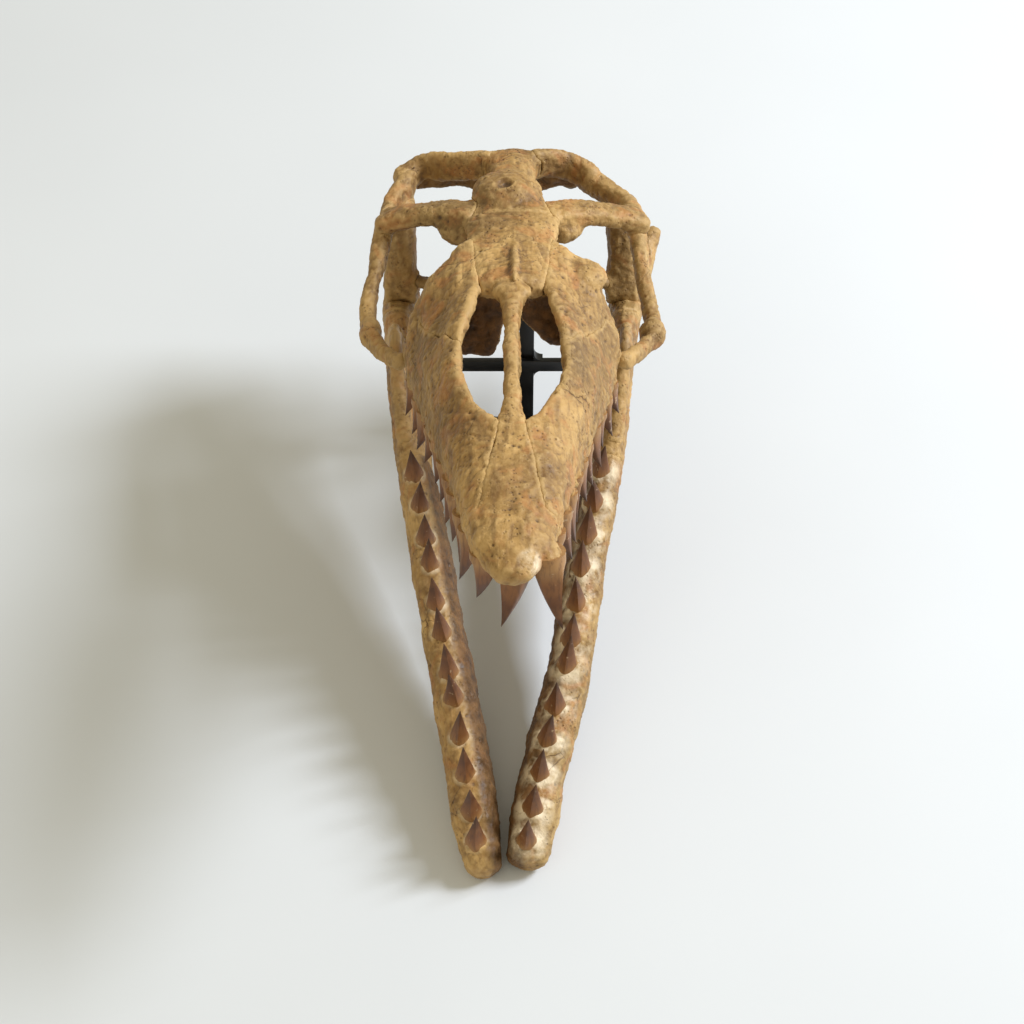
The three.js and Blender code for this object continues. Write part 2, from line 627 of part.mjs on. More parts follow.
for (const side of SIDES) {
  const { name, sign } = side;
  const inner = Math.min(0, sign * FAR);
  const flankSide = block(skullPoint, [inner, -FAR, -FAR], [inner + FAR, FAR, FAR]);
  const flank = snout.intersect(flankSide);
  const opening = naris(sign);
  const wall = cheek(sign, 0);
  const bone = cut(join(flank, wall), wedgeGap, barGap, opening, behindSuture(sign, GAP));
  fit(`maxilla_${name}`, join(bone, ...upperTeeth(sign)));

  const wallGap = cheek(sign, GAP);
  const eyeBarGap = postorbital(sign, GAP);
  const archGap = squamosal(side, GAP);
  const backBarGap = supratemporal(side, GAP);
  const quadrateGap = quadrate(sign, GAP);
  const plate = cut(wall.intersect(behindSuture(sign, 0)), opening);
  const maxillaGap = cut(wallGap, behindSuture(sign, 0));
  fit(`prefrontal_${name}`, join(plate, cut(innerWall(side, 0), maxillaGap)), frontalGap, barGap, flank);
  fit(`supratemporal_${name}`, supratemporal(side, 0), parietalGap, braincaseGap);
  fit(`postorbitofrontal_${name}`, postorbital(sign, 0), frontalGap, parietalGap, braincaseGap);
  fit(`squamosal_${name}`, squamosal(side, 0), eyeBarGap, backBarGap, braincaseGap);
  fit(`jugal_${name}`, jugal(side, 0), eyeBarGap, archGap, wallGap);
  fit(`quadrate_${name}`, quadrate(sign, 0), archGap, backBarGap, braincaseGap);
  fit(`pterygoid_${name}`, pterygoid(sign, 0), wallGap, quadrateGap, braincaseGap);

  const dentaryGap = dentary(side, GAP);
  const rear = cut(rearJaw(side, 0), dentaryGap, quadrateGap);
  const socket = pin(jawPoint(sign * HINGE.u, HINGE.s, HINGE.q), CONDYLE.radius + GAP, CONDYLE.socket);
  const behind = (grow) => block(jawPoint, [-FAR, ARTICULAR_FROM - grow, -FAR], [FAR, 2 * FAR, FAR]);
  const below = (grow) => block(jawPoint, [-FAR, 0, -FAR], [FAR, 2 * FAR, ANGULAR_TOP + grow]);
  fit(`dentary_${name}`, join(dentary(side, 0), ...lowerTeeth(side)), floorCut);
  fit(`articular_${name}`, rear.intersect(behind(0)), socket);
  fit(`angular_${name}`, rear.intersect(below(0)), behind(GAP));
  fit(`surangular_${name}`, rear, below(GAP), behind(GAP));
  fit(`coronoid_${name}`, coronoid(side, 0), dentaryGap, rearJaw(side, GAP));
}

// Steel mount: a box by its middle, its foot and its sizes
function steel(x, y, foot, wide, deep, high) {
  return block(worldPoint, [x - wide / 2, y - deep / 2, foot], [x + wide / 2, y + deep / 2, foot + high]);
}

const baseMiddle = (BASE.front + BASE.back) / 2;
fit('stand_base', steel(BASE.x, baseMiddle, 0, BASE.wide, BASE.back - BASE.front, BASE.thick));
const postFoot = BASE.thick + GAP;
fit('stand_post', steel(POST.x, POST.y, postFoot, STEEL.wide, STEEL.thick, POST.top - postFoot));
fit('stand_head', steel(POST.x, POST.y, POST.top + GAP, HEAD.wide, HEAD.deep, HEAD.high), braincaseGap);
const barY = POST.y - STEEL.thick - GAP;
const barX = (CROSSBAR.left + CROSSBAR.right) / 2;
const barFoot = CROSSBAR.z - STEEL.wide / 2;
const barLong = CROSSBAR.left - CROSSBAR.right;
fit('stand_crossbar', steel(barX, barY, barFoot, barLong, STEEL.thick, STEEL.wide));
for (const side of SIDES) {
  const x = CROSSBAR[side.name] - (side.sign * CRADLE.wide) / 2;
  const foot = barFoot + STEEL.wide + GAP;
  const cradle = steel(x, barY, foot, CRADLE.wide, CRADLE.deep, CRADLE.high);
  fit(`stand_cradle_${side.name}`, cradle, rearJaw(side, GAP));
}

// Colours of fossil bone and black steel
const BONE = 0xb98f5c;
const BONE_DARK = 0x9c7546;
const BLACK = 0x1c1c1e;
const shade = (name) => {
  if (name.startsWith('stand_')) return BLACK;
  return /dentary|angular|articular|coronoid/.test(name) ? BONE_DARK : BONE;
};

function meshOf(name, solid) {
  const raw = solid.getMesh();
  const geometry = new THREE.BufferGeometry();
  geometry.setAttribute('position', new THREE.BufferAttribute(new Float32Array(raw.vertProperties), 3));
  geometry.setIndex(new THREE.BufferAttribute(new Uint32Array(raw.triVerts), 1));
  geometry.computeVertexNormals();
  const steelPart = name.startsWith('stand_');
  const material = new THREE.MeshStandardMaterial({
    color: shade(name),
    roughness: steelPart ? 0.45 : 0.8,
    metalness: steelPart ? 0.6 : 0,
  });
  const mesh = new THREE.Mesh(geometry, material);
  mesh.name = name;
  return mesh;
}

const skull = new THREE.Group();
skull.name = 'mosasaur_skull';
for (const [name, solid] of solids) {
  skull.add(meshOf(name, solid));
}

// Origin at the middle of the footprint, on the table
const box = new THREE.Box3().setFromObject(skull);
const centre = box.getCenter(new THREE.Vector3());
for (const mesh of skull.children) {
  mesh.geometry.translate(-centre.x, -centre.y, -box.min.z);
}

export default skull;
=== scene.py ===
import math
import random
import bpy
import numpy as np
from mathutils import Matrix, Vector


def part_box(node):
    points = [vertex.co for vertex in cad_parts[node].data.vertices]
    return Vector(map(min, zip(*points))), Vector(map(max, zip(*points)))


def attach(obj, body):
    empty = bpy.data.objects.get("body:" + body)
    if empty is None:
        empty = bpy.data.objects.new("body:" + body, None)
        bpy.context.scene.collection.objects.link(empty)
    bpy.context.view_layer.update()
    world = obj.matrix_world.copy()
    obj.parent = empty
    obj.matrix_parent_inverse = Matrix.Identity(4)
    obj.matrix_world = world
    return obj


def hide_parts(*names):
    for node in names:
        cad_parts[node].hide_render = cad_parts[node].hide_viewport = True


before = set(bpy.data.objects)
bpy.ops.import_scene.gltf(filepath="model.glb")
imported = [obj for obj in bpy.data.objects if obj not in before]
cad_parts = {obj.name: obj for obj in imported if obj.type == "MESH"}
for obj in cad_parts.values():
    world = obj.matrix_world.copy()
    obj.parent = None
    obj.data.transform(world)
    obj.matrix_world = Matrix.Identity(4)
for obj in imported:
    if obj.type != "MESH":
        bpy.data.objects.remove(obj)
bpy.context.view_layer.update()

mm = 0.001

# Where things lie: both jaws hang on one hinge, and the steel post marks the middle line
layout = {
    "jawPitch": math.radians(14), "skullPitch": math.radians(20), "tipHeight": 20,
    "hingeS": 792, "hingeQ": 30, "hingeV": 770, "hingeW": -20, "postX": 20, "postY": 735,
}
postLow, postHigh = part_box("stand_post")
zero = (postLow + postHigh) / 2 - Vector((layout["postX"], layout["postY"], 0)) * mm
zero.z = 0
jawAlong = Vector((0, math.cos(layout["jawPitch"]), math.sin(layout["jawPitch"])))
jawUp = Vector((0, -math.sin(layout["jawPitch"]), math.cos(layout["jawPitch"])))
skullAlong = Vector((0, math.cos(layout["skullPitch"]), -math.sin(layout["skullPitch"])))
skullUp = Vector((0, math.sin(layout["skullPitch"]), math.cos(layout["skullPitch"])))


def jawPlace(u, s, q):  # across, back from the jaw tip, up, in millimetres
    return zero + Vector((u, 0, layout["tipHeight"])) * mm + (jawAlong * s + jawUp * q) * mm


hinge = jawPlace(0, layout["hingeS"], layout["hingeQ"])


def skullPlace(u, v, w):  # across, back from the snout, up from the tooth line
    back = skullAlong * (v - layout["hingeV"])
    return hinge + (Vector((u, 0, 0)) + back + skullUp * (w - layout["hingeW"])) * mm


sides = {"left": 1, "right": -1}  # the animal's left lies on +X


def curve(keys, values):  # smooth line through a few sizes
    def at(x):
        x = min(max(x, keys[0]), keys[-1])
        i = 0
        while i < len(keys) - 2 and x > keys[i + 1]:
            i += 1
        slope = []
        for k in (i, i + 1):
            a, b = max(k - 1, 0), min(k + 1, len(keys) - 1)
            slope.append((values[b] - values[a]) / (keys[b] - keys[a]))
        span = keys[i + 1] - keys[i]
        t = (x - keys[i]) / span
        ends = values[i] * (2 * t**3 - 3 * t**2 + 1) + values[i + 1] * (3 * t**2 - 2 * t**3)
        return ends + span * (slope[0] * (t**3 - 2 * t**2 + t) + slope[1] * (t**3 - t**2))
    return at


jawEdge = curve([0, 15, 40, 93, 150, 210, 300, 400, 460, 510], [20, 34, 44, 54, 65, 76, 94, 118, 130, 139])
jawTop = curve([0, 30, 100, 250, 400, 520, 600], [12, 22, 28, 36, 44, 52, 60])
ramusLine = {
    "left": curve([0, 46, 111, 182, 254, 374, 458, 544, 640], [14, 22, 35, 51, 70, 88, 104, 121, 135]),
    "right": curve([0, 50, 140, 250, 344, 444, 544, 640], [-32, -41, -55, -74, -92, -108, -127, -141]),
}


# Small helpers
def pick(*pieces):
    bpy.ops.object.select_all(action="DESELECT")
    for piece in pieces:
        piece.select_set(True)
    bpy.context.view_layer.objects.active = pieces[0]


def shape(piece, kind, **settings):
    modifier = piece.modifiers.new(kind.lower(), kind)
    for key, value in settings.items():
        setattr(modifier, key, value)
    pick(piece)
    bpy.ops.object.modifier_apply(modifier=modifier.name)


def copyMesh(source, name):
    piece = bpy.data.objects.new(name, source.data.copy())
    bpy.context.collection.objects.link(piece)
    return piece


def copyNode(node, name):
    piece = copyMesh(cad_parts[node], name)
    piece.data.materials.clear()
    pick(piece)
    bpy.ops.object.mode_set(mode="EDIT")
    bpy.ops.mesh.select_all(action="SELECT")
    bpy.ops.mesh.remove_doubles(threshold=0.02 * mm)
    bpy.ops.object.mode_set(mode="OBJECT")
    return piece


def joinAll(pieces):
    pick(*pieces)
    if len(pieces) > 1:
        bpy.ops.object.join()
    return pieces[0]


def sliceOff(piece, place, outward):  # cut away all beyond a plane and close the cut
    pick(piece)
    bpy.ops.object.mode_set(mode="EDIT")
    bpy.ops.mesh.select_all(action="SELECT")
    bpy.ops.mesh.bisect(plane_co=place, plane_no=outward, use_fill=True, clear_outer=True)
    bpy.ops.object.mode_set(mode="OBJECT")


def easeFacets(piece, rounds):  # smooth in, then a little out, so that thin bars keep their girth
    for turn in range(rounds):
        for factor in (1.0, -1.03):
            step = piece.modifiers.new("ease", "SMOOTH")
            step.factor = factor
            step.iterations = 1
    pick(piece)
    bpy.ops.object.convert(target="MESH")


def lump(place, size, along=None):  # rounded swelling, sizes across, along and up
    bpy.ops.object.select_all(action="DESELECT")
    bpy.ops.mesh.primitive_uv_sphere_add(segments=24, ring_count=14, radius=1)
    piece = bpy.context.object
    run = (along or skullAlong).normalized()
    up = (skullUp - run * skullUp.dot(run)).normalized()
    across = run.cross(up)
    turn = Matrix((across * size[0] * mm, run * size[1] * mm, up * size[2] * mm)).transposed().to_4x4()
    piece.data.transform(Matrix.Translation(place) @ turn)
    return piece


# Materials
def newMaterial(name):
    material = bpy.data.materials.new(name)
    material.use_nodes = True
    return material, material.node_tree, material.node_tree.nodes["Principled BSDF"]


def noise(tree, coords, scale, detail, distortion=0.0):
    made = tree.nodes.new("ShaderNodeTexNoise")
    made.inputs["Scale"].default_value = scale
    made.inputs["Detail"].default_value = detail
    made.inputs["Distortion"].default_value = distortion
    tree.links.new(coords, made.inputs["Vector"])
    return made.outputs["Fac"]


def cells(tree, coords, scale, feature):
    made = tree.nodes.new("ShaderNodeTexVoronoi")
    made.feature = feature
    made.inputs["Scale"].default_value = scale
    tree.links.new(coords, made.inputs["Vector"])
    return made.outputs["Distance"]


def ramp(tree, value, stops):
    made = tree.nodes.new("ShaderNodeValToRGB")
    line = made.color_ramp.elements
    while len(line) < len(stops):
        line.new(0.5)
    for element, (place, color) in zip(line, stops):
        element.position = place
        element.color = (*color, 1) if len(color) == 3 else color
    tree.links.new(value, made.inputs["Fac"])
    return made.outputs["Color"]


def grey(low, high, start=0.0, end=1.0):
    return [(low, (start,) * 3), (high, (end,) * 3)]


def mix(tree, factor, first, second, blend="MIX"):
    made = tree.nodes.new("ShaderNodeMix")
    made.data_type = "RGBA"
    made.blend_type = blend
    for socket, value in zip((made.inputs[0], made.inputs[6], made.inputs[7]), (factor, first, second)):
        if isinstance(value, bpy.types.NodeSocket):
            tree.links.new(value, socket)
        else:
            socket.default_value = (*value, 1) if isinstance(value, tuple) else value
    return made.outputs[2]


def bump(tree, height, distance, strength, under=None):
    made = tree.nodes.new("ShaderNodeBump")
    made.inputs["Distance"].default_value = distance
    made.inputs["Strength"].default_value = strength
    tree.links.new(height, made.inputs["Height"])
    if under:
        tree.links.new(under, made.inputs["Normal"])
    return made.outputs["Normal"]


def stretched(tree, coords, scale):
    made = tree.nodes.new("ShaderNodeMapping")
    made.inputs["Scale"].default_value = scale
    tree.links.new(coords, made.inputs["Vector"])
    return made.outputs["Vector"]


def attribute(tree, name):
    made = tree.nodes.new("ShaderNodeAttribute")
    made.attribute_name = name
    return made.outputs["Fac"]


def boneMaterial(name, tones, roughness):
    material, tree, shader = newMaterial(name)
    coords = tree.nodes.new("ShaderNodeTexCoord").outputs["Object"]
    broad = noise(tree, coords, 9, 6, 0.4)
    color = ramp(tree, broad, list(zip((0.34, 0.46, 0.54, 0.66), tones)))
    streaks = noise(tree, stretched(tree, coords, (130, 16, 130)), 1, 5, 0.6)
    color = mix(tree, ramp(tree, streaks, grey(0.45, 0.64, 0.0, 0.75)), color, (0.16, 0.08, 0.025))
    mottle = noise(tree, coords, 75, 7)
    color = mix(tree, ramp(tree, mottle, grey(0.35, 0.68, 0.0, 0.38)), color, (0.56, 0.355, 0.135))
    olive = noise(tree, stretched(tree, coords, (5, 4, 5)), 1, 4)
    color = mix(tree, ramp(tree, olive, grey(0.46, 0.62, 0.0, 0.75)), color, (0.19, 0.11, 0.034))
    rust = noise(tree, coords, 26, 5, 1.0)
    color = mix(tree, ramp(tree, rust, grey(0.52, 0.66, 0.0, 0.65)), color, (0.4, 0.17, 0.05))
    pits = cells(tree, coords, 190, "F1")
    pitted = noise(tree, coords, 34, 3)
    pitMask = mix(tree, ramp(tree, pitted, grey(0.46, 0.6)), (0, 0, 0),
                  ramp(tree, pits, grey(0.08, 0.34, 0.85, 0.0)))
    color = mix(tree, pitMask, color, (0.16, 0.085, 0.033))
    wander = noise(tree, coords, 30, 4)
    bent = mix(tree, 0.035, coords, mix(tree, 1.0, wander, (0.5, 0.5, 0.5), "SUBTRACT"), "ADD")
    cracks = cells(tree, bent, 24, "DISTANCE_TO_EDGE")
    crackMask = mix(tree, ramp(tree, noise(tree, coords, 11, 2), grey(0.54, 0.68)), (0, 0, 0),
                    ramp(tree, cracks, grey(0.004, 0.02, 0.8, 0.0)))
    color = mix(tree, crackMask, color, (0.1, 0.052, 0.022))
    # painted shade darkens the hollows and a painted highlight lightens the ridges, both read from the
    # hollow measure
    hollow = attribute(tree, "hollow")
    color = mix(tree, ramp(tree, hollow, grey(0.53, 0.92, 0.0, 0.9)), color, (0.1, 0.056, 0.026))
    color = mix(tree, ramp(tree, hollow, grey(0.1, 0.47, 0.45, 0.0)), color, (0.6, 0.395, 0.16))
    # painted shade on the nostril walls and the palate bones, and a real stain with painted shade on the
    # tongue side of the lower jaws
    shaded = attribute(tree, "shaded")
    shadeAndStain = ramp(tree, mottle, [(0.3, (0.035, 0.015, 0.005)), (0.65, (0.17, 0.08, 0.025))])
    color = mix(tree, shaded, color, shadeAndStain)
    chalk = noise(tree, coords, 48, 6, 0.5)
    filled = mix(tree, 1.0, attribute(tree, "plaster"), ramp(tree, chalk, grey(0.38, 0.56)), "MULTIPLY")
    color = mix(tree, filled, color, (0.88, 0.74, 0.52))
    tree.links.new(color, shader.inputs["Base Color"])
    sheen = ramp(tree, mottle, grey(0.3, 0.7, *roughness))
    tree.links.new(sheen, shader.inputs["Roughness"])
    fine = noise(tree, coords, 420, 6)
    relief = bump(tree, streaks, 0.0012, 0.55)
    relief = bump(tree, mottle, 0.0018, 0.75, relief)
    relief = bump(tree, fine, 0.0008, 0.65, relief)
    relief = bump(tree, mix(tree, 1.0, (1, 1, 1), pitMask, "SUBTRACT"), 0.0014, 0.8, relief)
    relief = bump(tree, mix(tree, 1.0, (1, 1, 1), crackMask, "SUBTRACT"), 0.001, 0.8, relief)
    tree.links.new(relief, shader.inputs["Normal"])
    shader.inputs["Specular IOR Level"].default_value = 0.35
    return material


skullBone = boneMaterial(
    "skullBone",
    ((0.13, 0.06, 0.015), (0.28, 0.15, 0.041), (0.41, 0.235, 0.074), (0.56, 0.35, 0.13)),
    (0.5, 0.74),
)
jawBone = boneMaterial(
    "jawBone",
    ((0.12, 0.056, 0.015), (0.3, 0.16, 0.045), (0.46, 0.272, 0.09), (0.64, 0.425, 0.17)),
    (0.42, 0.68),
)
print("bone materials made")


def enamelMaterial():
    material, tree, shader = newMaterial("brownEnamel")
    coords = tree.nodes.new("ShaderNodeTexCoord").outputs["Object"]
    height = attribute(tree, "crownHeight")
    color = ramp(tree, height, [
        (0.03, (0.36, 0.19, 0.068)), (0.3, (0.22, 0.09, 0.03)),
        (0.6, (0.125, 0.047, 0.017)), (1.0, (0.05, 0.022, 0.011)),
    ])
    cloud = noise(tree, coords, 55, 5)
    color = mix(tree, ramp(tree, cloud, grey(0.45, 0.7, 0.0, 0.5)), color, (0.25, 0.11, 0.04))
    grain = noise(tree, stretched(tree, coords, (320, 320, 45)), 1, 4)
    color = mix(tree, ramp(tree, grain, grey(0.48, 0.7, 0.0, 0.45)), color, (0.07, 0.032, 0.018))
    chips = noise(tree, coords, 130, 4)
    color = mix(tree, ramp(tree, chips, grey(0.66, 0.72, 0.0, 0.7)), color, (0.52, 0.37, 0.22))
    tree.links.new(color, shader.inputs["Base Color"])
    tree.links.new(ramp(tree, cloud, grey(0.3, 0.7, 0.36, 0.52)), shader.inputs["Roughness"])
    shader.inputs["Specular IOR Level"].default_value = 0.35
    relief = bump(tree, grain, 0.0006, 0.4)
    tree.links.new(bump(tree, chips, 0.0008, 0.3, relief), shader.inputs["Normal"])
    return material


def steelMaterial():
    material, tree, shader = newMaterial("blackPaint")
    coords = tree.nodes.new("ShaderNodeTexCoord").outputs["Object"]
    orange = noise(tree, coords, 260, 3)
    worn = noise(tree, coords, 18, 5)
    color = ramp(tree, worn, [(0.4, (0.007, 0.0075, 0.008)), (0.75, (0.02, 0.021, 0.022))])
    tree.links.new(color, shader.inputs["Base Color"])
    tree.links.new(ramp(tree, worn, grey(0.3, 0.75, 0.3, 0.5)), shader.inputs["Roughness"])
    tree.links.new(bump(tree, orange, 0.0004, 0.2), shader.inputs["Normal"])
    return material


enamel = enamelMaterial()
blackPaint = steelMaterial()

# Bones: which lie in one run, and how far each stands over its neighbours
runs = {
    "cranium": ["premaxilla", "frontal", "parietal", "braincase"] + [
        f"{bone}_{side}" for side in sides for bone in (
            "maxilla", "prefrontal", "supratemporal", "postorbitofrontal", "squamosal", "jugal",
            "quadrate", "pterygoid")],
    "jawLeft": [f"{bone}_left" for bone in ("dentary", "angular", "surangular", "articular", "coronoid")],
    "jawRight": [f"{bone}_right" for bone in ("dentary", "angular", "surangular", "articular", "coronoid")],
}
bone = {
    "voxel": 1.9 * mm, "guideVoxel": 3 * mm, "swell": 0.5 * mm, "rounds": 20,
    "near": 5 * mm, "far": 9 * mm, "step": 0.15 * mm, "fillet": 6 * mm,
    "lumps": (42 * mm, 7 * mm), "dents": (12 * mm, 2.6 * mm), "grain": (4.2 * mm, 1.0 * mm),
    "meet": 2.0 * mm, "hollowTurns": 10, "hollowDepth": 1.5 * mm,
    "toothCut": {"upper": -9, "lower": 2}, "lowerSlopes": ((0, 16 / 100), (100, 8 / 150)),
}


# Forms of single bones: some swell the whole run, a crest stands on its own
swellings = {
    "parietal": [((-6, 708, 142), (44, 52, 22))],
    "postorbitofrontal_right": [((-66, 672, 108), (26, 30, 18))],
    "postorbitofrontal_left": [((66, 672, 108), (22, 24, 16))],
    "prefrontal_left": [((80, 540, 100), (34, 36, 16))],
    "jugal_left": [((176, 574, 6), (17, 20, 19))],
    "jugal_right": [((-178, 580, 6), (13, 22, 17))],
    "premaxilla": [((0, 454, 117), (24, 18, 10))],
}
crests = {
    "frontal": [((3, 548, 130), (6, 92, 8))],
}


def withoutTeeth(node):
    piece = copyNode(node, node + ".bone")
    if node.startswith(("maxilla", "premaxilla")):
        sliceOff(piece, skullPlace(0, 0, bone["toothCut"]["upper"]), -skullUp)
    if node.startswith("dentary"):
        for s, slope in bone["lowerSlopes"]:
            height = jawTop(s) + bone["toothCut"]["lower"]
            sliceOff(piece, jawPlace(0, s, height), jawUp - jawAlong * slope)
    swollen = [lump(skullPlace(*place), size) for place, size in swellings.get(node, [])]
    return joinAll([piece, *swollen])


def cloudTexture(name, size):
    made = bpy.data.textures.new(name, "CLOUDS")
    made.noise_scale = size
    made.noise_depth = 2
    made.noise_type = "SOFT_NOISE" if name == "lumps" else "HARD_NOISE"
    return made


relief = [(cloudTexture(key, bone[key][0]), bone[key][1]) for key in ("lumps", "dents", "grain")]


def spotsOf(piece):
    flat = np.empty(len(piece.data.vertices) * 3, np.float32)
    piece.data.vertices.foreach_get("co", flat)
    return flat.reshape(-1, 3)


def normalsOf(piece):
    flat = np.empty(len(piece.data.vertices) * 3, np.float32)
    piece.data.vertex_normals.foreach_get("vector", flat)
    return flat.reshape(-1, 3)


def keepValues(piece, name, values):
    made = piece.data.attributes.new(name, "FLOAT", "POINT")
    made.data.foreach_set("value", np.clip(values, 0, 1).astype(np.float32))


def pressPits(piece, pits):  # sculpted dents: place, radius and depth
    spots = spotsOf(piece)
    normals = normalsOf(piece)
    for place, radius, depth in pits:
        away = np.linalg.norm(spots - np.array(place, np.float32), axis=1) / radius
        fall = np.clip(1 - away**2, 0, 1) ** 1.5
        spots -= normals * (fall * depth)[:, None]
    spots[:, 2] = np.maximum(spots[:, 2], 0)  # the jaws lie on the floor
    piece.data.vertices.foreach_set("co", spots.ravel())
    piece.data.update()


def markHollows(piece, turns, depth):  # how far each spot lies under the smoothed surface round it
    spots = spotsOf(piece)
    ends = np.empty(len(piece.data.edges) * 2, np.int32)
    piece.data.edges.foreach_get("vertices", ends)
    first, second = ends.reshape(-1, 2).T
    count = len(spots)
    share = np.maximum(np.bincount(first, minlength=count) + np.bincount(second, minlength=count), 1)
    eased = spots.copy()
    for turn in range(turns):
        eased = np.stack([
            np.bincount(first, eased[second, k], count) + np.bincount(second, eased[first, k], count)
            for k in range(3)], axis=1) / share[:, None]
    under = ((eased - spots) * normalsOf(piece)).sum(axis=1)
    keepValues(piece, "hollow", 0.5 + under / (2 * depth))


def markNear(piece, name, places, radius, facing=None):  # soft patch round each place, on one side if told
    spots = spotsOf(piece)
    reach = np.full(len(spots), 9.0)
    for place in places:
        reach = np.minimum(reach, np.linalg.norm(spots - np.array(place), axis=1) / radius)
    patch = 1.6 * (1 - reach)
    if facing:
        patch *= np.clip(3 * normalsOf(piece) @ np.array(facing) - 1.4, 0, 1)
    keepValues(piece, name, patch)


# Plaster, stains and painted shade: sizes in millimetres
patches = {
    "plaster": {"left": 30, "right": 17}, "snout": ((17, 10, 14), 17), "stainShadeStart": 1, "stainShadeWide": 9,
    "stainShadeDepth": 0.88, "nostril": 40, "nostrilBack": 462, "palate": 0.45,
}


def markInner(piece, side):  # the tongue side of a lower jaw is darkened, partly a real stain and partly painted shade
    spots = spotsOf(piece)
    along = (spots - np.array(jawPlace(0, 0, 0))) @ np.array(jawAlong) / mm
    line = np.array([ramusLine[side](s) for s in np.clip(along, 0, 640)])
    inward = (line - (spots[:, 0] - zero.x) / mm) * sides[side] - teeth["lean"][side]
    reach = (inward + patches["stainShadeStart"]) / patches["stainShadeWide"]
    keepValues(piece, "shaded", np.clip(reach, 0, 1) * patches["stainShadeDepth"])


# Teeth: the same rows as in the jaws, one crown modelled and copied
teeth = {
    "upper": {"count": 10, "from": 94, "pitch": 39, "long": 60, "thick": 11.5},
    "lower": {"count": 12, "from": 28, "pitch": 43.5, "long": 54, "thick": 12.5},
    "front": [(5, 27, (-16, -6), 72, 15), (36, 36, (17, -13), 77, 16), (-28, 41, (-9, 8), 54, 13)],
    "seed": 20, "seedStep": 16807, "seedSpan": 2147483647, "curl": 0.9, "fat": 1.08,
    "lens": 0.98, "edge": 1.5, "keel": 0.12, "lean": {"left": -2, "right": 5},
}
draw = teeth["seed"]


def wobble(amount):
    global draw
    draw = draw * teeth["seedStep"] % teeth["seedSpan"]
    return (draw / teeth["seedSpan"] - 0.5) * 2 * amount


def upperTooth(sign, i):
    row = teeth["upper"]
    v = row["from"] + i * row["pitch"] + wobble(5)
    size = 1.05 - 0.035 * i + wobble(0.08)
    bend = Vector((sign * (11 + wobble(4)), 0, 0)) + skullAlong * (8 + wobble(5))
    base = skullPlace(sign * (jawEdge(v) - 11), v, -2)
    return base, -skullUp, bend * mm, row["long"] * size * mm, row["thick"] * (1 - 0.02 * i) * mm


def lowerTooth(side, i):
    row = teeth["lower"]
    s = row["from"] + i * row["pitch"] + wobble(6)
    size = 0.85 + 0.25 * math.sin(math.pi * (i + 2) / (row["count"] + 2)) + wobble(0.1)
    bend = Vector((sides[side] * (2 + wobble(4)), 0, 0)) + jawAlong * (12 + wobble(4))
    base = jawPlace(ramusLine[side](s) + sides[side] * teeth["lean"][side], s, jawTop(s) - 4)
    return base, jawUp, bend * mm, row["long"] * size * mm, row["thick"] * (0.9 + wobble(0.08)) * mm


def frontTooth(u, v, tip, long, thick):
    bend = Vector((tip[0], 0, 0)) + skullAlong * tip[1]
    return skullPlace(u, v, 3), -skullUp, bend * mm, long * mm, thick * mm


toothRows = {"premaxilla": [frontTooth(*tooth) for tooth in teeth["front"]]}
for side, sign in sides.items():
    toothRows[f"maxilla_{side}"] = [upperTooth(sign, i) for i in range(teeth["upper"]["count"])]
    toothRows[f"dentary_{side}"] = [lowerTooth(side, i) for i in range(teeth["lower"]["count"])]


def modelCrown():  # unit crown: extruded ring by ring to a curved point with a cutting edge fore and aft
    rings = [
        (-0.14, 1.16), (0.0, 1.14), (0.12, 1.04), (0.26, 0.92), (0.42, 0.76), (0.58, 0.58),
        (0.74, 0.38), (0.88, 0.19), (1.0, 0.02),
    ]
    bpy.ops.object.select_all(action="DESELECT")
    start, girth = rings[0]
    bpy.ops.mesh.primitive_circle_add(vertices=48, radius=girth, fill_type="NGON", location=(0, 0, start))
    crown = bpy.context.object
    bpy.ops.object.transform_apply(location=True)
    bpy.ops.object.mode_set(mode="EDIT")
    bpy.ops.mesh.select_all(action="SELECT")
    for (low, wide), (high, narrow) in zip(rings, rings[1:]):
        lean = teeth["curl"] * (max(high, 0) ** 2 - max(low, 0) ** 2)
        bpy.ops.mesh.extrude_region_move(TRANSFORM_OT_translate={"value": (0, lean, high - low)})
        middle = (0, teeth["curl"] * max(high, 0) ** 2, high)
        bpy.ops.transform.resize(value=(narrow / wide, narrow / wide, 1), center_override=middle)
    bpy.ops.mesh.select_all(action="SELECT")
    bpy.ops.mesh.normals_make_consistent(inside=False)
    bpy.ops.object.mode_set(mode="OBJECT")
    for vert in crown.data.vertices:  # round foot, lens-shaped above it
        middle = teeth["curl"] * max(vert.co.z, 0) ** 2
        reach = math.hypot(vert.co.x, vert.co.y - middle)
        sine = (vert.co.y - middle) / reach
        flat = math.copysign(reach * teeth["lens"] * (1 - abs(sine) ** teeth["edge"]), vert.co.x)
        share = min(max(vert.co.z * 6, 0), 1)
        vert.co.x += share * (flat - vert.co.x)
        vert.co.y += share * teeth["keel"] * reach * sine
    keepValues(crown, "crownHeight", spotsOf(crown)[:, 2])
    return crown


def setTooth(model, name, base, axis, bend, long, thick):
    side = axis.cross(bend).normalized()
    fore = side.cross(axis).normalized()
    girth = thick * teeth["fat"]
    rise = axis * long + fore * (bend.dot(fore) - girth * teeth["curl"]) + axis * bend.dot(axis)
    tooth = copyMesh(model, name)
    place = Matrix((side * girth, fore * girth, rise)).transposed().to_4x4()
    tooth.data.transform(Matrix.Translation(base) @ place)
    if place.determinant() < 0:
        tooth.data.flip_normals()
    return tooth


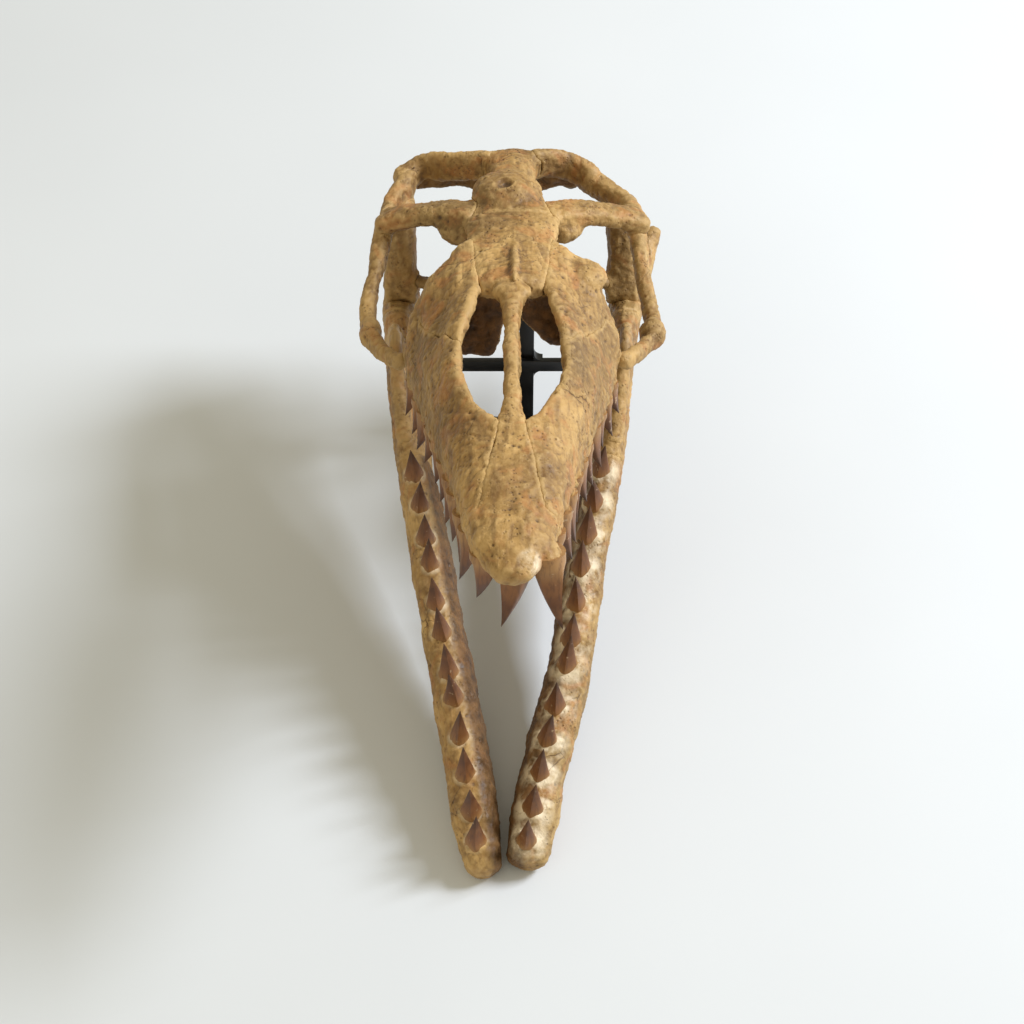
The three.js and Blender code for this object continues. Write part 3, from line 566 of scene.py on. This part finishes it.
crownModel = modelCrown()
for node, row in toothRows.items():
    crowns = joinAll([setTooth(crownModel, f"{node}.crown{i}", *tooth) for i, tooth in enumerate(row)])
    crowns.name = f"{node}.crowns"
    crowns.data.materials.append(enamel)
    pick(crowns)
    bpy.ops.object.shade_smooth_by_angle(angle=math.radians(40))
    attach(crowns, "root")
bpy.data.objects.remove(crownModel)
print("crowns set", sum(len(row) for row in toothRows.values()))

pineal = {"place": (-11, 692, 160), "radius": 14, "depth": 8}
pitting = {
    "premaxilla": (70, 31), "maxilla_left": (150, 32), "maxilla_right": (130, 33), "frontal": (40, 34),
    "parietal": (30, 35), "prefrontal_left": (70, 36), "prefrontal_right": (40, 37),
    "dentary_left": (70, 38), "dentary_right": (70, 39),
    "surangular_left": (20, 40), "surangular_right": (20, 41),
    "jugal_left": (14, 42), "jugal_right": (14, 43), "postorbitofrontal_left": (26, 44),
    "postorbitofrontal_right": (26, 45),
}


def scatteredPits(piece, count, seed):  # small vessel holes, set on the surface at random
    dice = random.Random(seed)
    spots = spotsOf(piece)
    pits = []
    for i in range(count):
        place = spots[dice.randrange(len(spots))].tolist()
        radius = dice.uniform(2.2, 4.2) * mm
        pits.append((place, radius, dice.uniform(0.7, 2.2) * mm))
    return pits


def vesselRow(side):  # row of larger holes over the upper teeth
    sign = sides[side]
    return [(skullPlace(sign * (jawEdge(v) + 1), v, 26 + 3 * (k % 2)), 4.2 * mm, 3.4 * mm)
            for k, v in enumerate(range(96, 430, 37))]


# Bone collars that hold the crowns: how deep they sit, their girth against the crown's, and their height
feet = {"lower": (1, (1.2, 1.25), 7), "front": (4, (1.06, 1.06), 12)}


def toothFoot(tooth, foot, along):
    base, axis, bend, long, thick = tooth
    deep, girth, high = foot
    return lump(base - axis * deep * mm, (thick / mm * girth[0], thick / mm * girth[1], high), along)


def finishBone(piece, node, guide, rank, material):
    shape(piece, "REMESH", mode="VOXEL", voxel_size=bone["voxel"] * 1.5)
    group = piece.vertex_groups.new(name="skin")
    group.add(list(range(len(piece.data.vertices))), 1.0, "REPLACE")
    shape(piece, "VERTEX_WEIGHT_PROXIMITY", vertex_group="skin", target=guide, proximity_mode="GEOMETRY",
          proximity_geometry={"FACE"}, min_dist=bone["far"], max_dist=bone["near"])
    shape(piece, "SHRINKWRAP", target=guide, vertex_group="skin", offset=bone["step"] * rank)
    extra = [lump(skullPlace(*place), size) for place, size in crests.get(node, [])]
    if node.startswith("dentary"):
        extra += [toothFoot(tooth, feet["lower"], jawAlong) for tooth in toothRows[node]]
    if node == "premaxilla":
        extra += [toothFoot(tooth, feet["front"], skullAlong) for tooth in toothRows[node]]
    joinAll([piece, *extra])
    shape(piece, "REMESH", mode="VOXEL", voxel_size=bone["voxel"])
    shape(piece, "SMOOTH", factor=0.6, iterations=4)
    shape(piece, "DISPLACE", strength=bone["meet"], mid_level=0)
    for texture, strength in relief:
        shape(piece, "DISPLACE", texture=texture, texture_coords="GLOBAL", strength=strength, mid_level=0.5)
    pits = scatteredPits(piece, *pitting[node]) if node in pitting else []
    if node == "parietal":
        spots = spotsOf(piece)
        away = np.linalg.norm(spots - np.array(skullPlace(*pineal["place"])), axis=1)
        pits.append((spots[away.argmin()].tolist(), pineal["radius"] * mm, pineal["depth"] * mm))
    if node.startswith("maxilla"):
        pits += vesselRow(node.split("_")[1])
    pressPits(piece, pits)
    markHollows(piece, bone["hollowTurns"], bone["hollowDepth"])
    if node.startswith("dentary"):
        side = node.split("_")[1]
        markNear(piece, "plaster", [tooth[0] for tooth in toothRows[node]], patches["plaster"][side] * mm)
        markInner(piece, side)
    # a pale patch on the snout tip, in the same colour as the plaster
    if node == "premaxilla":
        place, spread = patches["snout"]
        markNear(piece, "plaster", [skullPlace(*place)], spread * mm)
    # the inner walls by the nostrils are darkened, partly their own darker bone and partly painted shade
    if node.startswith("prefrontal"):
        sign = sides[node.split("_")[1]]
        back = patches["nostrilBack"]
        inner = [skullPlace(sign * u, back, w) for u in (20, 45, 70) for w in (40, 65, 90)]
        markNear(piece, "shaded", inner, patches["nostril"] * mm, -skullAlong)
    # the pterygoids and braincase, seen through the skull's openings, are darkened all over with painted
    # shade
    if node.startswith(("pterygoid", "braincase")):
        keepValues(piece, "shaded", np.full(len(piece.data.vertices), patches["palate"]))
    piece.vertex_groups.clear()
    piece.data.materials.clear()
    piece.data.materials.append(material)
    pick(piece)
    bpy.ops.object.shade_smooth()
    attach(piece, "root")
    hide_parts(node)


for run, nodes in runs.items():
    bones = {node: withoutTeeth(node) for node in nodes}
    cores = []
    for node, piece in bones.items():
        core = copyMesh(piece, node + ".core")
        shape(core, "DISPLACE", strength=bone["swell"], mid_level=0)
        cores.append(core)
    guide = joinAll(cores)
    for swell in (bone["fillet"], -bone["fillet"]):
        shape(guide, "REMESH", mode="VOXEL", voxel_size=bone["guideVoxel"])
        shape(guide, "SMOOTH", factor=0.5, iterations=2)
        shape(guide, "DISPLACE", strength=swell, mid_level=0)
    shape(guide, "REMESH", mode="VOXEL", voxel_size=bone["guideVoxel"])
    easeFacets(guide, bone["rounds"])
    inJaw = run != "cranium"
    for rank, (node, piece) in enumerate(bones.items()):
        finishBone(piece, node, guide, rank % 4, jawBone if inJaw else skullBone)
    bpy.data.objects.remove(guide)
    print("bones finished:", run, len(bones))

# Steel stand: flat bars with broken edges and a filleted crossing
stand = {"bevel": 1.2 * mm, "fillet": 12 * mm}
for node in [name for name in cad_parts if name.startswith("stand_")]:
    piece = copyNode(node, node + ".steel")
    pick(piece)
    bpy.ops.object.mode_set(mode="EDIT")
    bpy.ops.mesh.select_all(action="SELECT")
    bpy.ops.mesh.dissolve_limited(angle_limit=math.radians(1))
    bpy.ops.object.mode_set(mode="OBJECT")
    edges = {"limit_method": "ANGLE", "angle_limit": math.radians(50)}
    shape(piece, "BEVEL", width=stand["bevel"], segments=3, **edges)
    piece.data.materials.append(blackPaint)
    pick(piece)
    bpy.ops.object.shade_smooth_by_angle(angle=math.radians(35))
    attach(piece, "root")
    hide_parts(node)


def cornerFillet(post, bar, signX, signZ):  # block in the crossing's corner, hollowed by a round cutter
    size = stand["fillet"]
    x = post[1].x if signX > 0 else post[0].x
    z = bar[1].z if signZ > 0 else bar[0].z
    corner = Vector((x, (bar[0].y + post[1].y) / 2, z))
    deep = post[1].y - bar[0].y
    bpy.ops.object.select_all(action="DESELECT")
    bpy.ops.mesh.primitive_cube_add(size=1)
    block = bpy.context.object
    middle = corner + Vector((signX, 0, signZ)) * size / 2
    block.data.transform(Matrix.Translation(middle) @ Matrix.Diagonal((size, deep * 0.8, size, 1)))
    bpy.ops.object.select_all(action="DESELECT")
    bpy.ops.mesh.primitive_cylinder_add(vertices=48, radius=size, depth=deep * 2)
    cutter = bpy.context.object
    far = corner + Vector((signX, 0, signZ)) * size
    cutter.data.transform(Matrix.Translation(far) @ Matrix.Rotation(math.radians(90), 4, "X"))
    shape(block, "BOOLEAN", object=cutter, operation="DIFFERENCE", solver="EXACT")
    bpy.data.objects.remove(cutter)
    return block


post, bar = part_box("stand_post"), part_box("stand_crossbar")
weld = joinAll([cornerFillet(post, bar, x, z) for x in (-1, 1) for z in (-1, 1)])
weld.name = "stand_crossing.weld"
weld.data.materials.append(blackPaint)
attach(weld, "root")
print("stand finished")

# Floor, light and camera
floorMaterial, floorTree, floorShader = newMaterial("paleFloor")
floorCoords = floorTree.nodes.new("ShaderNodeTexCoord").outputs["Object"]
floorCloud = noise(floorTree, floorCoords, 1.3, 3)
floorTone = ramp(floorTree, floorCloud, [(0.3, (0.63, 0.645, 0.66)), (0.7, (0.66, 0.675, 0.69))])
floorTree.links.new(floorTone, floorShader.inputs["Base Color"])
floorShader.inputs["Roughness"].default_value = 0.75
bpy.ops.object.select_all(action="DESELECT")
bpy.ops.mesh.primitive_plane_add(size=14, location=(0, 0, -0.4 * mm))
floor = bpy.context.object
floor.name = "floor"
bpy.ops.object.transform_apply(location=True)
floor.data.materials.append(floorMaterial)

lights = {
    "key": {"place": (4.6, 1.2, 4.1), "size": 1.9, "power": 510, "color": (0.84, 0.9, 1.0)},
    "fill": {"place": (-1.6, -2.4, 2.6), "size": 2.6, "power": 14, "color": (1.0, 0.93, 0.74)},
}
target = Vector((0, 0.05, 0.2))
for name, light in lights.items():
    bpy.ops.object.light_add(type="AREA", location=light["place"])
    lamp = bpy.context.object
    lamp.name = name
    lamp.rotation_euler = (target - lamp.location).to_track_quat("-Z", "Y").to_euler()
    lamp.data.size = light["size"]
    lamp.data.energy = light["power"]
    lamp.data.color = light["color"]

world = bpy.data.worlds.new("room")
world.use_nodes = True
bpy.context.scene.world = world
world.node_tree.nodes["Background"].inputs["Color"].default_value = (1.0, 0.94, 0.74, 1)
world.node_tree.nodes["Background"].inputs["Strength"].default_value = 0.57
bpy.context.scene.view_settings.view_transform = "Standard"

view = {"place": (0, -1.2388, 2.1607), "tilt": math.radians(40), "fov": math.radians(28)}
bpy.ops.object.camera_add(location=zero + Vector(view["place"]), rotation=(view["tilt"], 0, 0))
camera = bpy.context.object
camera.data.angle = view["fov"]
bpy.context.scene.camera = camera
print("floor, light and camera set")
